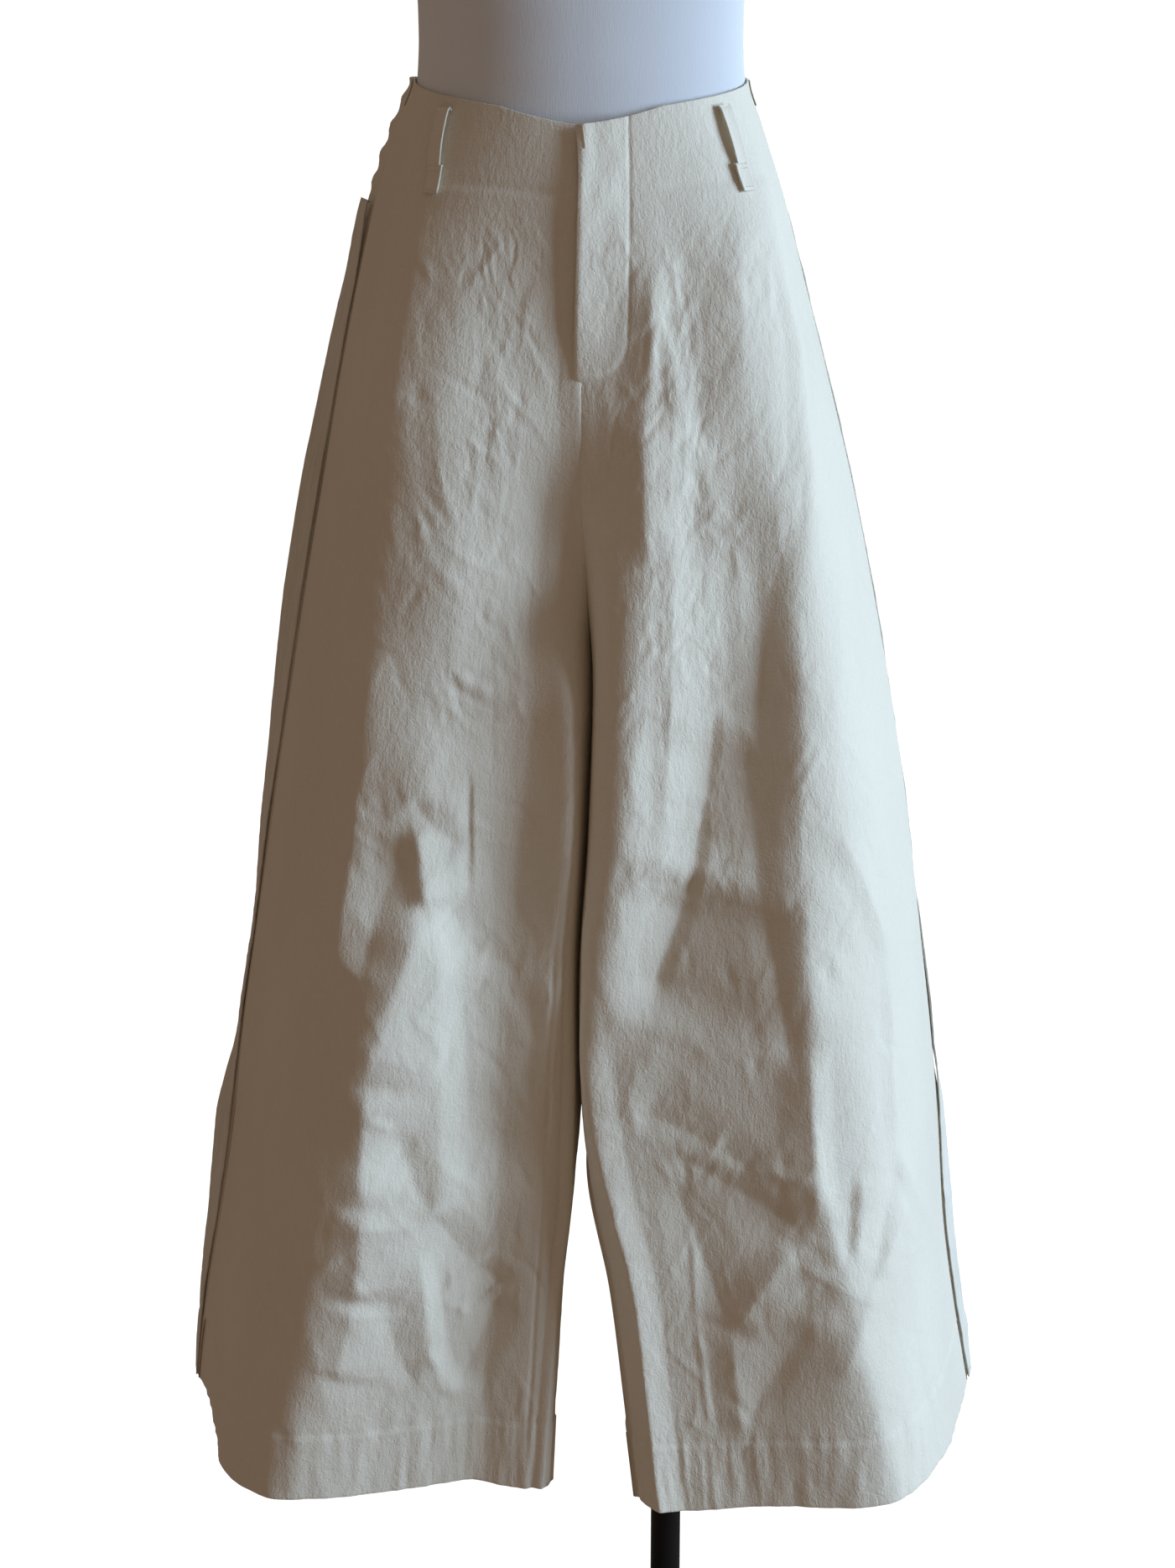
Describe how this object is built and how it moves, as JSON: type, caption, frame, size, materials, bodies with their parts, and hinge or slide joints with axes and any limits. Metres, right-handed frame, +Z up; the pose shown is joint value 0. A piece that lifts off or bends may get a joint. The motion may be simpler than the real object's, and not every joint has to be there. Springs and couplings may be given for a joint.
{
  "type": "wide-leg trousers on a limbless dress form",
  "caption": "High-waisted wide-leg canvas trousers with a covered fly, belt loops and side tapes, worn by a limbless dress form on a pole stand with a round base.",
  "frame": {"origin": "centre of the base plate's underside, on the floor", "axes": "+Z up, the trousers' front faces -Y, +X to the wearer's left; the centre front and centre back lie in the plane x = 0"},
  "size_m": [0.6525, 0.3159, 1.8503],
  "materials": {
    "cream_canvas": "cream cotton canvas, matt, lightly crinkled",
    "side_tape": "yellowish beige tape with fine lengthwise lines",
    "form_jersey": "pale cool white stretch jersey",
    "cap_satin": "satin metal",
    "stand_black": "black satin paint"
  },
  "bodies": {
    "root": {"front_right": "cream_canvas", "front_left": "cream_canvas", "back_right": "cream_canvas", "back_left": "cream_canvas", "fly": "cream_canvas", "belt_loop_front_right": "cream_canvas", "belt_loop_front_left": "cream_canvas", "belt_loop_back_right": "cream_canvas", "belt_loop_back_left": "cream_canvas", "side_tape_right": "side_tape", "side_tape_left": "side_tape", "form_torso": "form_jersey", "form_neck_cap": "cap_satin", "form_pole": "stand_black", "pole_collar": "stand_black", "form_base": "stand_black"}
  },
  "joints": []
}
